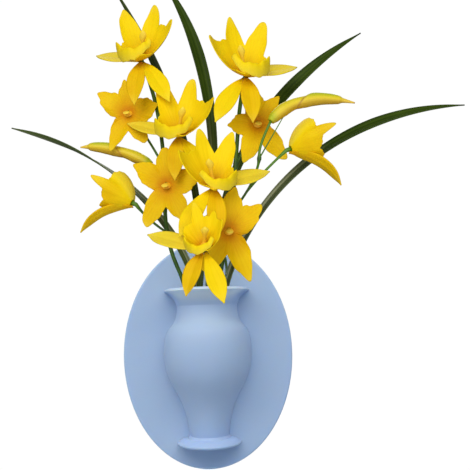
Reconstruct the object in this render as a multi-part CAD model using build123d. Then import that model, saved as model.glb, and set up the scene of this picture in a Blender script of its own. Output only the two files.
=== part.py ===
from build123d import *
import math
import os

# A soft silicone half vase that sticks flat to a wall and holds two artificial orchid sprays.
# Millimetres. The wall is the plane y = 0, the vase faces -y, z is up, and the origin is the
# centre of the backing plate on the wall. Both sprays stand loose in the pocket and lift out.

# Backing plate and the gel pad behind it
plate_width = 136.0
plate_height = 180.0
plate_thickness = 2.5
plate_edge_round = 1.4
pad_thickness = 0.8
pad_inset = 3.0

# Half vase: radii at named heights over the plate's centre
rim_height = 51.3
rim_radius = 34.4
rim_thickness = 3.8
neck_height = 37.5
neck_radius = 24.5
belly_height = -0.5
belly_radius = 35.2
taper_height = -36.0
taper_radius = 22.5
waist_height = -61.0
waist_radius = 15.4
foot_height = -70.5
foot_radius = 25.0
foot_round = 1.6
foot_rise = 5.2
foot_flare = 1.4
foot_crown = 1.0
waist_drop = 2.5
lip_round = 2.0
wall = 2.6
floor_rise = 3.0

# Sprays: stems, sleeves and the clearance that every loose seat keeps
seat_gap = 0.3
stem_radius = 1.6
pedicel_radius = 1.0
stem_sides = 8
sleeve_wall = 0.8
sleeve_length = 20.0
sleeve_rise = 14.0
sleeve_spread = 6.5
stem_lead = 4.0

# Leaves
leaf_thickness = 1.0
leaf_base_width = 3.0
leaf_width = 11.5
leaf_mouth_share = 0.62
leaf_fold = 0.2

# Blooms: the knob that carries the floral leaves, and their thickness
knob_radius = 2.2
knob_foot = 2.0
tier_step = 1.5
claw_width = 2.4
tepal_thickness = 0.8
tip_width = 1.4
column_radius = 1.7
bud_radius = 4.6

plate_front = pad_thickness + plate_thickness
pocket_floor = waist_height + floor_rise
neck_bore = neck_radius - wall
knob_height = 5 * tier_step
leaf_offset = stem_radius + seat_gap + leaf_thickness / 2
sleeve_bore = math.hypot(leaf_offset + leaf_thickness / 2, leaf_base_width / 2) + seat_gap
sleeve_radius = sleeve_bore + sleeve_wall
sleeve_depth = sleeve_radius + seat_gap
sleeve_bottom = pocket_floor + sleeve_rise
sleeve_top = sleeve_bottom + sleeve_length

# Floral leaves of the three ways a bloom stands. Each row: azimuth about the bloom's axis, opening
# from the axis at the claw and at the tip (degrees), length, width, cup, tier on the knob, and
# where along its length it is widest (1 is the middle, more is nearer the tip).
bloom_forms = {
    "cup": {
        "fullness": 0.70,
        "petals": [
            (154, 69, 32, 38, 17, 0.24, 2.7, 1.2),
            (104, 60, 42, 45, 17, 0.20, 1.2, 1.1),
            (63, 54, 42, 43, 17, 0.20, 3.2, 1.15),
        ],
        "sepals": [
            (28, 86, 92, 52, 16, 0.15, 0, 1.2),
            (235, 100, 130, 48, 14, 0.20, 0, 1.3),
            (273, 104, 136, 41, 14, 0.20, 0.7, 1.1),
        ],
        "lip": (296, 64, -30, 25, 25, 0.34, 4, 1.3),
        "column": (90, 18, 17),
    },
    "tight cup": {
        "fullness": 0.70,
        "petals": [
            (130, 58, 40, 30, 14, 0.24, 2.2, 1.2),
            (100, 60, 42, 36, 16, 0.20, 1.2, 1.1),
            (64, 54, 42, 46, 17, 0.20, 3.2, 1.15),
        ],
        "sepals": [
            (23, 86, 92, 55, 16, 0.15, 0, 1.2),
            (246, 100, 130, 46, 14, 0.20, 0, 1.3),
            (292, 104, 136, 38, 14, 0.20, 0.7, 1.1),
        ],
        "lip": (296, 64, -30, 25, 25, 0.34, 4, 1.3),
        "column": (90, 18, 17),
    },
    "star": {
        "fullness": 0.55,
        "petals": [
            (172, 76, 84, 21, 17, 0.12, 2, 1.3),
            (36, 76, 84, 25, 16, 0.12, 2, 1.3),
        ],
        "sepals": [
            (90, 80, 88, 28, 15, 0.12, 0, 1.2),
            (244, 82, 92, 31, 16, 0.12, 1, 1.3),
            (299, 82, 92, 34, 16, 0.12, 1, 1.3),
        ],
        "lip": (270, 58, 84, 11, 9, 0.45, 4, 1.3),
        "column": (90, 8, 5),
    },
    "nodding": {
        "fullness": 0.70,
        "petals": [
            (100, 66, 10, 28, 17, 0.20, 2, 1.1),
            (25, 62, 2, 33, 17, 0.20, 3, 1.1),
            (168, 60, -6, 39, 17, 0.20, 3, 1.1),
        ],
        "sepals": [
            (62, 76, 6, 28, 17, 0.20, 0.4, 1.1),
            (138, 74, 0, 32, 16, 0.20, 0.6, 1.1),
            (246, 24, 94, 52, 14, 0.20, 0, 1.2),
        ],
        "lip": (285, 30, 44, 18, 10, 0.40, 4, 1.3),
        "column": (90, 0, 6),
    },
}

# Blooms. Each row: form, side that the lip looks to, place (x, depth from the plate's front, rise
# over the rim), turn to the right, tilt up, roll of the petals and of the sepals, and their sizes.
blooms = {
    "left_bloom_1": ("cup", -1, (-46, 33, 181), -12, 44, 0, 0, 1.0, 1.0),
    "left_bloom_2": ("star", -1, (-59, 19, 143), -8, 0, 0, 4, 1.0, 0.84),
    "left_bloom_3": ("cup", -1, (-17, 42, 114.7), -3, 42, -3, 0, 0.97, 0.90),
    "left_bloom_4": ("star", -1, (-26.5, 36, 78), -8, 0, 0, 2, 1.0, 0.92),
    "left_bloom_5": ("nodding", -1, (-50.5, 40, 63.5), -105, 28, 0, 0, 0.95, 0.88),
    "right_bloom_1": ("cup", 1, (35.5, 51, 157.5), 12, 44, 0, 0, 1.0, 1.0),
    "right_bloom_2": ("star", 1, (44, 33, 126), 8, 0, 15, 6, 0.9, 0.92),
    "right_bloom_3": ("nodding", 1, (65.5, 47, 101), 105, 17, 0, 0, 1.0, 0.95),
    "right_bloom_4": ("cup", 1, (10, 71, 67), 12, 42, 0, -3, 0.87, 0.92),
    "right_bloom_5": ("star", 1, (19.5, 57, 38), 8, 0, 0, -8, 1.0, 0.98),
    "right_bloom_6": ("tight cup", -1, (4, 89, 20), -12, 42, -15, 0, 0.64, 0.84),
}

# Leaves. Each row: side of the vase, where the foot sits round the stem (degrees), mouth place as
# shares of the neck bore (across, out), slopes at the mouth and at the tip, bend, length beyond the
# mouth, depth at the tip, turn of the blade from full face at the mouth and at the tip.
leaves = {
    "left_leaf_low": (-1, 90, -0.38, 0.12, 100, 165, 0.73, 215, 9, -4, -125),
    "left_leaf_tall": (-1, 0, -0.25, 0.26, 81, 122, 0.68, 288, 6, 12, 80),
    "right_leaf_tall": (1, 180, 0.09, 0.50, 84.6, 124, 2.0, 278, 12, -20, -20),
    "right_leaf_high": (1, 95, 0.54, 0.13, 103.8, 27.5, 0.72, 264, 6, 10, 14),
    "right_leaf_low": (1, 15, 0.72, 0.43, 75.4, -3, 1.0, 270, 9, 40, 32),
}

# Stem routes over the rim: (x, depth from the plate's front, rise over the rim)
stem_mouths = {"left": (-0.68, 0.50), "right": (0.44, 0.68)}
stem_routes = {
    "left": [(-28, 13, 30), (-32, 16, 60), (-31, 19, 110), (-38, 25, 160)],
    "right": [(17, 14, 34), (22.5, 17, 59), (28, 26, 110), (31, 40, 142)],
}

# Stalks. Each row: what the stalk leaves, the rise where it leaves, and a place on its way
pedicel_routes = {
    "left_bloom_2": ("stem", 98, [(-45, 16.5, 123)]),
    "left_bloom_3": ("stem", 96, [(-24, 27, 102)]),
    "left_bloom_4": ("stem", 66, []),
    "left_bloom_5": ("stem", 45, [(-43, 23, 55)]),
    "right_bloom_2": ("stem", 97, [(38, 24, 117)]),
    "right_bloom_3": ("branch", 73, [(48, 40, 86)]),
    "right_bloom_4": ("stem", 55, [(17, 42, 56)]),
    "right_bloom_5": ("stem", 45, []),
    "right_bloom_6": ("stem", 27, [(16, 46, 6)]),
}
branch_routes = {
    "left": (82, [(-37, 15, 96)]),
    "right": (59, [(36, 31, 73), (45, 47, 92), (44.5, 50, 104)]),
}
bud_routes = {
    "left_bud": [(-42.5, 15, 101.5), (-72, 15, 115), (-100.5, 15, 118)],
    "right_bud": [(54, 54, 122), (81, 54, 137.5), (118.5, 54, 134.5)],
}


def out(x, depth, z):
    """A point from its place across, its depth from the plate's front and its height."""
    return Vector(x, -plate_front - depth, z)


def over_rim(place):
    """A point from its place across, its depth from the plate's front and its rise over the rim."""
    return out(place[0], place[1], rim_height + place[2])


def crescent(plane, half_width, thickness, cup):
    """A thin crescent: two arcs that meet at the edges, which stand up by cup."""
    lift = cup * half_width
    under = ThreePointArc((-half_width, lift), (0, -thickness / 2), (half_width, lift))
    upper = ThreePointArc((half_width, lift), (0, thickness / 2), (-half_width, lift))
    return plane * make_face([under, upper])


def fold_ring(plane, half_width, cup):
    """A floral leaf's section: a thin sheet in three flats, its edges drawn thin and turned up."""
    lift = cup * half_width
    flat = 0.5 * half_width
    low = 0.25 * lift
    ring = [(-half_width, lift), (-flat, low), (flat, low), (half_width, lift)]
    ring += [(flat, low + tepal_thickness), (-flat, low + tepal_thickness)]
    return [plane.from_local_coords(Vector(x, y, 0)) for x, y in ring]


def skin(rings):
    """A closed solid of flat facets through rings of as many points each."""
    faces = [Face(Wire.make_polygon(rings[0][::-1])), Face(Wire.make_polygon(rings[-1]))]
    for low, high in zip(rings, rings[1:]):
        for near in range(len(low)):
            far = (near + 1) % len(low)
            faces.append(Face(Wire.make_polygon([low[near], low[far], high[far]])))
            faces.append(Face(Wire.make_polygon([low[near], high[far], high[near]])))
    return Solid(Shell(faces))


def tepal(row, fullness, size, roll, side):
    """One floral leaf: folds skinned along an arc that opens away from the bloom's axis."""
    azimuth, open_claw, open_tip, length, width, cup, tier, widest = row
    length = length * size
    width = width * size
    if side < 0:
        azimuth = 180 - azimuth

    def opening(share):
        return math.radians(open_claw + (open_tip - open_claw) * share)

    sections = []
    radius = knob_radius + seat_gap + tepal_thickness * max(0.0, math.cos(opening(0.0)))
    height = tier_step * (tier + 0.6)
    last = 0.0
    for share in (0.0, 0.2, 0.45, 0.7, 0.9, 1.0):
        middle = opening((share + last) / 2)
        radius += math.sin(middle) * length * (share - last)
        height += math.cos(middle) * length * (share - last)
        last = share
        swell = max(0.0, math.sin(math.pi * share ** widest)) ** fullness
        least = claw_width + (tip_width - claw_width) * share
        half = max(width * swell, least) / 2
        slope = opening(share)
        plane = Plane(
            origin=(radius, 0, height),
            x_dir=(0, 1, 0),
            z_dir=(math.sin(slope), 0, math.cos(slope)),
        )
        sections.append(fold_ring(plane, half, cup))
    return skin(sections).rotate(Axis.Z, azimuth + roll)


def bloom_frame(name):
    """The bloom's own frame: z along its axis, x to its right, y to its top."""
    form, side, place, turn, tilt, petal_roll, sepal_roll, petal_size, sepal_size = blooms[name]
    yaw = math.radians(turn)
    pitch = math.radians(tilt)
    axis = Vector(
        math.sin(yaw) * math.cos(pitch),
        -math.cos(yaw) * math.cos(pitch),
        math.sin(pitch),
    )
    return Plane(origin=over_rim(place), x_dir=(math.cos(yaw), math.sin(yaw), 0), z_dir=axis)


def bloom_solids(name):
    """Sepals, petals, and lip with column, each a list of solids in place."""
    form, side, place, turn, tilt, petal_roll, sepal_roll, petal_size, sepal_size = blooms[name]
    rows = bloom_forms[form]
    frame = bloom_frame(name)
    full = rows["fullness"]
    sepals = [frame * tepal(row, full, sepal_size, sepal_roll, side) for row in rows["sepals"]]
    petals = [frame * tepal(row, full, petal_size, petal_roll, side) for row in rows["petals"]]
    lip = frame * tepal(rows["lip"], full, petal_size, petal_roll, side)
    azimuth, lean, length = rows["column"]
    length = length * petal_size
    hood = length + column_radius
    crown = hood + 1.2 * column_radius
    rounds = []
    for height, swell in ((0, 0.8), (length, 1.0), (hood, 1.4), (crown, 0.5)):
        rounds.append(Pos(0, 0, height) * RegularPolygon(column_radius * swell, 6))
    column = loft(rounds, ruled=True).rotate(Axis.Y, lean).rotate(Axis.Z, azimuth)
    column = frame * (Pos(0, 0, knob_height + 2 * seat_gap) * column)
    return sepals, petals, [lip, column]


def path_through(points):
    """A path: straight, on one arc, or on straight runs joined by the widest arcs that fit."""
    points = [Vector(point) for point in points]
    if len(points) == 2:
        return Line(*points)
    if len(points) == 3:
        return ThreePointArc(*points)
    bends = []
    for before, corner, after in zip(points, points[1:], points[2:]):
        turn = (corner - before).get_angle(after - corner)
        run = min((corner - before).length, (after - corner).length)
        bends.append(0.45 * run / math.tan(math.radians(turn) / 2))
    return FilletPolyline(*points, radius=bends)


def tube(path, radius):
    """A round stem along a path."""
    section = Plane(origin=path @ 0, z_dir=path % 0) * RegularPolygon(radius, stem_sides)
    return sweep(section, path=path)


def at_rise(path, rise):
    """The point of a rising path at a rise over the rim, found by halving."""
    low = 0.0
    high = 1.0
    for halving in range(30):
        middle = (low + high) / 2
        if (path @ middle).Z < rim_height + rise:
            low = middle
        else:
            high = middle
    return path @ low


def bud(name):
    """A closed bud: rounds lofted along an arc, swelling and then drawn to a point."""
    start, middle, end = [over_rim(place) for place in bud_routes[name]]
    spine = ThreePointArc(start, middle, end)
    sections = []
    for share, swell in ((0, 0.42), (0.12, 0.8), (0.35, 1.0), (0.6, 0.92), (0.85, 0.6), (1, 0.1)):
        plane = Plane(origin=spine @ share, z_dir=spine % share)
        sections.append(plane * Circle(bud_radius * swell))
    return loft(sections, ruled=True)


def leaf(name):
    """A strap leaf: folded crescents lofted from the sleeve through the mouth to the tip."""
    side, round_stem, across, outward, slope_mouth, slope_tip, bend = leaves[name][:7]
    length, depth_tip, turn_mouth, turn_tip = leaves[name][7:]
    angle = math.radians(round_stem)
    foot_x = side * sleeve_spread + leaf_offset * math.cos(angle)
    foot_depth = sleeve_depth - leaf_offset * math.sin(angle)
    turn_foot = 90 - round_stem
    mouth_x = across * neck_bore
    mouth_depth = outward * neck_bore
    foot = out(foot_x, foot_depth, sleeve_bottom + seat_gap)
    spots = [(foot, Vector(0, 0, 1), turn_foot, leaf_base_width)]
    top = out(foot_x, foot_depth, sleeve_top)
    mouth = out(mouth_x, mouth_depth, rim_height)
    rise = (mouth - top).length
    leave = Vector(0, 0, rise)
    slope = math.radians(slope_mouth)
    arrive = Vector(math.cos(slope), 0, math.sin(slope)) * rise
    for share in (0.0, 0.25, 0.5, 0.75, 1.0):
        a = 2 * share ** 3 - 3 * share ** 2 + 1
        b = share ** 3 - 2 * share ** 2 + share
        c = 3 * share ** 2 - 2 * share ** 3
        d = share ** 3 - share ** 2
        spot = top * a + leave * b + mouth * c + arrive * d
        da = 6 * share ** 2 - 6 * share
        db = 3 * share ** 2 - 4 * share + 1
        dd = 3 * share ** 2 - 2 * share
        along = top * da + leave * db - mouth * da + arrive * dd
        turn = turn_foot + (turn_mouth - turn_foot) * share
        width = leaf_base_width + (leaf_mouth_share * leaf_width - leaf_base_width) * share
        spots.append((spot, along.normalized(), turn, width))
    spot = mouth
    steps = 10
    count = 8
    for station in range(1, count + 1):
        for step in range(steps):
            share = (station - 1 + (step + 0.5) / steps) / count
            slope = math.radians(slope_mouth + (slope_tip - slope_mouth) * share ** bend)
            creep = (depth_tip - mouth_depth) / length
            along = Vector(math.cos(slope), -creep, math.sin(slope))
            spot = spot + along * (length / count / steps)
        share = station / count
        swell = min(1.0, leaf_mouth_share + 1.2 * share)
        taper = 1 - max(0.0, (share - 0.4) / 0.6) ** 2.2
        width = max(leaf_width * swell * taper, tip_width)
        turn = turn_mouth + (turn_tip - turn_mouth) * share
        spots.append((spot, along.normalized(), turn, width))
    sections = []
    for spot, along, turn, width in spots:
        flat = along.cross(Vector(0, 1, 0)).normalized()
        edge = flat.cross(along)
        beta = math.radians(turn)
        across_blade = flat * math.cos(beta) + edge * math.sin(beta)
        plane = Plane(origin=spot, x_dir=across_blade, z_dir=along)
        sections.append(crescent(plane, width / 2, leaf_thickness, leaf_fold))
    return loft(sections, ruled=True)


def knob(name):
    """The green knob at the end of a bloom's stalk, which the floral leaves seat round."""
    post = Cylinder(knob_radius, knob_height + knob_foot)
    return bloom_frame(name) * (Pos(0, 0, (knob_height - knob_foot) / 2) * post)


def spike(side):
    """One spray's stem with its branch, stalks and knobs, moulded in one piece."""
    sign = -1 if side == "left" else 1
    across, outward = stem_mouths[side]
    x = sign * sleeve_spread
    top_bloom = side + "_bloom_1"
    route = [
        out(x, sleeve_depth, pocket_floor + seat_gap),
        out(x, sleeve_depth, sleeve_top + stem_lead),
        out(across * neck_bore, outward * neck_bore, rim_height),
    ]
    route += [over_rim(place) for place in stem_routes[side]]
    route.append(bloom_frame(top_bloom).origin)
    stem = path_through(route)
    leave, places = branch_routes[side]
    route = [at_rise(stem, leave)]
    route += [over_rim(place) for place in places]
    bud_foot = over_rim(bud_routes[side + "_bud"][0])
    route.append(bud_foot - (bud_foot - route[-1]).normalized() * seat_gap)
    branch = path_through(route)
    # the thin tube comes first in each sum: the other way round, some rim heights lose the joint
    body = tube(branch, pedicel_radius) + tube(stem, stem_radius)
    body += knob(top_bloom)
    for name, (carrier, leave, places) in pedicel_routes.items():
        if name.startswith(side):
            route = [at_rise(stem if carrier == "stem" else branch, leave)]
            route += [over_rim(place) for place in places]
            route.append(bloom_frame(name).origin)
            body = tube(path_through(route), pedicel_radius) + body
            body += knob(name)
    return body


def sleeve(side):
    """The wrap that binds the leaves' feet round the stem."""
    sign = -1 if side == "left" else 1
    ring = Circle(sleeve_radius) - Circle(sleeve_bore)
    wrap = extrude(ring, sleeve_length)
    return Pos(*out(sign * sleeve_spread, sleeve_depth, sleeve_bottom)) * wrap


def backing_plate():
    """The oval plate, with its front edge rounded."""
    oval = Plane.XZ.offset(pad_thickness) * Ellipse(plate_width / 2, plate_height / 2)
    plate = extrude(oval, plate_thickness)
    front = plate.edges().sort_by(Axis.Y)[0]
    return fillet(front, plate_edge_round)


def adhesive_pad():
    """The sticky gel layer between the plate and the wall."""
    oval = Plane.XZ * Ellipse(plate_width / 2 - pad_inset, plate_height / 2 - pad_inset)
    return extrude(oval, pad_thickness)


def vase_front():
    """The half vase: its wall, floor and foot turned half a turn about the plate's front face."""
    foot_edge = foot_radius - foot_round
    foot_top = (waist_radius + foot_flare, foot_height + foot_rise)
    crown_radius = (foot_radius + foot_top[0]) / 2 + 0.4 * foot_crown
    foot_middle = (crown_radius, (foot_height + foot_round + foot_top[1]) / 2 + 0.9 * foot_crown)
    waist_low = (waist_radius, waist_height - waist_drop)
    stem_height = (taper_height + waist_low[1]) / 2
    stem_width = waist_radius + 0.32 * (taper_radius - waist_radius)
    cheek_height = (belly_height + taper_height) / 2
    cheek_radius = taper_radius + 0.73 * (belly_radius - taper_radius)
    shoulder_height = (belly_height + neck_height) / 2
    shoulder_radius = neck_radius + 0.68 * (belly_radius - neck_radius)
    bends = [
        (stem_width, stem_height),
        (taper_radius, taper_height),
        (cheek_radius, cheek_height),
        (belly_radius, belly_height),
        (shoulder_radius, shoulder_height),
        (neck_radius, neck_height),
    ]
    outside = Spline(waist_low, *bends, tangents=[(0.12, 1), (0, 1)])
    inside = Spline(
        (waist_radius - wall, pocket_floor),
        *[(radius - wall, height) for radius, height in bends],
        tangents=[(0.15, 1), (0, 1)],
    )
    flare_middle = (neck_height + rim_height) / 2
    flare_radius = neck_radius + 0.36 * (rim_radius - neck_radius)
    lip_low = (rim_radius, rim_height - lip_round)
    lip_side = (rim_radius - 0.29 * lip_round, rim_height - 0.29 * lip_round)
    lip_top = (rim_radius - lip_round, rim_height)
    lip_in = (rim_radius - rim_thickness, rim_height - seat_gap)
    profile = [
        Line((0, foot_height), (foot_edge, foot_height)),
        ThreePointArc(
            (foot_edge, foot_height),
            (foot_radius - 0.29 * foot_round, foot_height + 0.29 * foot_round),
            (foot_radius, foot_height + foot_round),
        ),
        ThreePointArc((foot_radius, foot_height + foot_round), foot_middle, foot_top),
        Line(foot_top, waist_low),
        outside,
        ThreePointArc((neck_radius, neck_height), (flare_radius, flare_middle), lip_low),
        ThreePointArc(lip_low, lip_side, lip_top),
        Line(lip_top, lip_in),
        ThreePointArc(lip_in, (flare_radius - wall, flare_middle), (neck_bore, neck_height)),
        inside,
        Line((waist_radius - wall, pocket_floor), (0, pocket_floor)),
        Line((0, pocket_floor), (0, foot_height)),
    ]
    section = Plane.XZ * make_face(profile)
    turned = revolve(section, Axis((0, 0, 0), (0, 0, -1)), 180)
    return Pos(0, -plate_front, 0) * turned


def write(name, solids):
    """One node: its solids in one file."""
    export_step(Compound(children=solids), os.path.join("parts", name + ".step"))


os.makedirs("parts", exist_ok=True)
write("adhesive_pad", [adhesive_pad()])
write("backing_plate", [backing_plate()])
write("vase_front", [vase_front()])
for side in ("left", "right"):
    write(side + "_spike_stem", [spike(side)])
    write(side + "_stem_sleeve", [sleeve(side)])
    write(side + "_bud", [bud(side + "_bud")])
for name in leaves:
    write(name, [leaf(name)])
for name in blooms:
    sepals, petals, lip = bloom_solids(name)
    write(name + "_sepals", sepals)
    write(name + "_petals", petals)
    write(name + "_lip", lip)
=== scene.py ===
# %% [markdown]
# # A stick-on wall vase with two orchid sprays
# The real object is a soft silicone half vase on an oval plate. A gel layer holds it flat on a wall, and
# two artificial orchid sprays stand loose in its pocket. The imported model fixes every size, place and joint,
# so this script only dresses it: smooth petals, leaves and stems over the plain solids, and a finish for
# each of them.

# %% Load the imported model
import math
import bpy
import numpy as np
from mathutils import Matrix, Vector


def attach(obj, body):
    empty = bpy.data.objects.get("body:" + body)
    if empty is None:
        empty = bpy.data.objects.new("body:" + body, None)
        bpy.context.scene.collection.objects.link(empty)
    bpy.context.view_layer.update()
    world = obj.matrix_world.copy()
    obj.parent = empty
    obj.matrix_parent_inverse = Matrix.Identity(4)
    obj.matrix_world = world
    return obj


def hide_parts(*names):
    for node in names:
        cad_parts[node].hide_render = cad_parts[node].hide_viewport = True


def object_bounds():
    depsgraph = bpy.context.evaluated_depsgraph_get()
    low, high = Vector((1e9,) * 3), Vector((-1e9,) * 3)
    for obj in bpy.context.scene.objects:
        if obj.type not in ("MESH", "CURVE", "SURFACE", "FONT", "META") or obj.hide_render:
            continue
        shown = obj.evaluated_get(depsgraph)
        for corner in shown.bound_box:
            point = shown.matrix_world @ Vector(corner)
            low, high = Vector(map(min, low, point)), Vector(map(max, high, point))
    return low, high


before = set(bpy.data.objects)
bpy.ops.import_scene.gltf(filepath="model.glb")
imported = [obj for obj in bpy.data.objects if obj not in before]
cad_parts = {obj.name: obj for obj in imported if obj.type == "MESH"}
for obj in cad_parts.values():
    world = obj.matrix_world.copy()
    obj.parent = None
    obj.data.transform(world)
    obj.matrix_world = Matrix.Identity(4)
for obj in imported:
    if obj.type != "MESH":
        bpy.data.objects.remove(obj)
cad_low, cad_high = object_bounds()

# %% [markdown]
# ## From a grid of points to a mesh
# Every new piece here is a surface of two parameters: rows run along it, columns run across or round it.
# numpy works out all the points at once. One helper joins such grids into a mesh and keeps the two parameters
# as a UV map, so that veins can follow the surface. It also keeps one more number per point, the tone.

# %% Grids to meshes
MILLIMETRE = 0.001
# a little over a full turn in radians: an angle over it stays under 1
FULL_TURN = 6.3


def grid_faces(rows, columns, closed):
    """Quads between neighbouring rows and columns; closed also joins the last column to the first."""
    row = np.arange(rows - 1)[:, None]
    column = np.arange(columns if closed else columns - 1)[None, :]
    beside = (column + 1) % columns
    low = row * columns
    high = low + columns
    return np.stack([low + column, low + beside, high + beside, high + column], -1).reshape(-1, 4)


def grid(points, across, along, tone=0.0, closed=False):
    """One surface: its points in millimetres, its two parameters and its tone on the same grid."""
    shape = points.shape[:2]
    spread = [np.broadcast_to(np.asarray(value, float), shape).ravel() for value in (across, along, tone)]
    return {"points": points.reshape(-1, 3), "faces": grid_faces(*shape, closed), "values": spread}


def make_piece(name, grids, material, body, nodes, thickness=0.0):
    """Joins grids into one mesh that rides on a body and stands for CAD nodes. A thickness, in
    millimetres, turns an open sheet into a closed shell, half of it to each side."""
    first = np.cumsum([0] + [len(g["points"]) for g in grids])
    points = np.concatenate([g["points"] for g in grids]) * MILLIMETRE
    faces = np.concatenate([g["faces"] + start for g, start in zip(grids, first)])
    across, along, tone = (np.concatenate([g["values"][i] for g in grids]) for i in range(3))
    mesh = bpy.data.meshes.new(name)
    mesh.from_pydata(points.tolist(), [], faces.tolist())
    corner = np.zeros(len(mesh.loops), np.int32)
    mesh.loops.foreach_get("vertex_index", corner)
    layer = mesh.uv_layers.new(name="UVMap")
    layer.data.foreach_set("uv", np.stack([across, along], -1)[corner].astype(np.float32).ravel())
    shade = mesh.attributes.new("tone", "FLOAT", "POINT")
    shade.data.foreach_set("value", tone.astype(np.float32))
    mesh.polygons.foreach_set("use_smooth", np.ones(len(mesh.polygons), bool))
    mesh.materials.append(material)
    mesh.validate()
    piece = bpy.data.objects.new(name, mesh)
    bpy.context.scene.collection.objects.link(piece)
    if thickness:
        shell = piece.modifiers.new("shell", "SOLIDIFY")
        shell.thickness = thickness * MILLIMETRE
        shell.offset = 0.0
    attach(piece, body)
    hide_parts(*nodes)
    print(name, len(points), "points")


# %% [markdown]
# ## Sums with sockets
# A material is a graph of nodes. Written as Python sums it is much easier to read, so one small class wraps
# a socket: adding or multiplying two of them adds a Math node, and one method adds any other node.


# %% Socket sums
class Wire:
    """An output socket in a node tree."""

    def __init__(self, tree, socket=None):
        self.tree = tree
        self.socket = socket

    def node(self, kind, settings, sockets, out=0):
        """Adds a node: its settings first, then values or links for its input sockets."""
        made = self.tree.nodes.new(kind)
        for key, value in settings.items():
            setattr(made, key, value)
        for key, value in sockets.items():
            if isinstance(value, Wire):
                self.tree.links.new(value.socket, made.inputs[key])
            else:
                made.inputs[key].default_value = value
        return Wire(self.tree, made.outputs[out])

    def math(self, operation, *values):
        return self.node("ShaderNodeMath", {"operation": operation}, dict(enumerate(values)))

    def __add__(self, other):
        return self.math("ADD", self, other)

    def __radd__(self, other):
        return self.math("ADD", other, self)

    def __sub__(self, other):
        return self.math("SUBTRACT", self, other)

    def __rsub__(self, other):
        return self.math("SUBTRACT", other, self)

    def __mul__(self, other):
        return self.math("MULTIPLY", self, other)

    def __rmul__(self, other):
        return self.math("MULTIPLY", other, self)

    def __pow__(self, other):
        return self.math("POWER", self, other)

    def sine(self):
        return self.math("SINE", self)

    def clamped(self):
        return self.node("ShaderNodeClamp", {}, {"Value": self})

    def between(self, low, high):
        """0 below low, 1 above high and a smooth rise between them."""
        settings = {"interpolation_type": "SMOOTHSTEP"}
        return self.node("ShaderNodeMapRange", settings, {"Value": self, 1: low, 2: high})

    def mix(self, first, second):
        """From the first colour to the second as this value goes from 0 to 1."""
        settings = {"data_type": "RGBA", "clamp_factor": True}
        return self.node("ShaderNodeMix", settings, {0: self, 6: first, 7: second}, 2)

    def noise(self, scale, detail=2.0):
        """A smooth random value from 0 to 1 over the object's own coordinates."""
        place = self.node("ShaderNodeTexCoord", {}, {}, "Object")
        return self.node("ShaderNodeTexNoise", {}, {"Vector": place, "Scale": scale, "Detail": detail})

    def coordinate(self, axis):
        """One of the object's own coordinates, in metres."""
        place = self.node("ShaderNodeTexCoord", {}, {}, "Object")
        return self.node("ShaderNodeSeparateXYZ", {}, {0: place}, axis)

    def surface(self):
        """The piece's own two parameters and its tone: across, along, tone."""
        sheet = self.node("ShaderNodeUVMap", {"uv_map": "UVMap"}, {})
        split = self.node("ShaderNodeSeparateXYZ", {}, {0: sheet}, "X")
        along = Wire(self.tree, split.socket.node.outputs["Y"])
        tone = self.node("ShaderNodeAttribute", {"attribute_name": "tone"}, {}, "Fac")
        return split, along, tone

    def bump(self, height, strength, distance):
        sockets = {"Height": height, "Strength": strength, "Distance": distance * MILLIMETRE}
        return self.node("ShaderNodeBump", {}, sockets)


def finish(name, paint, **constants):
    """A material: paint returns what varies, by socket name, and the constants are set on the shader."""
    material = bpy.data.materials.new(name)
    material.use_nodes = True
    shader = material.node_tree.nodes["Principled BSDF"]
    for key, value in constants.items():
        shader.inputs[key.replace("_", " ")].default_value = value
    for key, wire in paint(Wire(material.node_tree)).items():
        material.node_tree.links.new(wire.socket, shader.inputs[key])
    return material


def rgb(red, green, blue):
    """A colour as it is seen on a screen, 0 to 255, as the shader's linear values."""
    seen = np.array([red, green, blue]) / 255
    linear = np.where(seen <= 0.04045, seen / 12.92, ((seen + 0.055) / 1.055) ** 2.4)
    return (*linear.tolist(), 1.0)


# %% [markdown]
# ## The photograph's view, soft light and a pale floor
# The camera stands close, a little to the right and below the flowers, and leans by under two degrees. The
# vase is lit from above, which models its belly, and the flowers from the front, which keeps them bright.
# The flowers would throw a blot of shadow on the vase, so each of these panels is linked to the pieces that
# it lights. One more panel stands behind and lights everything, for views from there.

# %% Camera, light and floor
camera_place = Vector((0.0245, -0.480, 0.025))
camera_aim = Vector((0.0245, 0.0, 0.0955))
camera_roll = math.radians(-1.65)
forward = (camera_aim - camera_place).normalized()
level = forward.cross(Vector((0, 0, 1))).normalized()
upright = level.cross(forward)
right = math.cos(camera_roll) * level + math.sin(camera_roll) * upright
up = math.cos(camera_roll) * upright - math.sin(camera_roll) * level
camera = bpy.data.objects.new("camera", bpy.data.cameras.new("camera"))
camera.data.lens = 44.5
camera.data.sensor_width = 36.0
camera.data.clip_start = 0.01
camera.matrix_world = Matrix.Translation(camera_place) @ Matrix((right, up, -forward)).transposed().to_4x4()
bpy.context.scene.collection.objects.link(camera)
bpy.context.scene.camera = camera
bpy.context.scene.view_settings.view_transform = "Standard"

vase_nodes = ("vase_front", "backing_plate", "adhesive_pad")
vase_alone = bpy.data.collections.new("vase_alone")
all_but_vase = bpy.data.collections.new("all_but_vase")
for node in vase_nodes:
    vase_alone.objects.link(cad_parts[node])
    all_but_vase.objects.link(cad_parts[node])
for member in all_but_vase.collection_objects:
    member.light_linking.link_state = "EXCLUDE"


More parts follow.
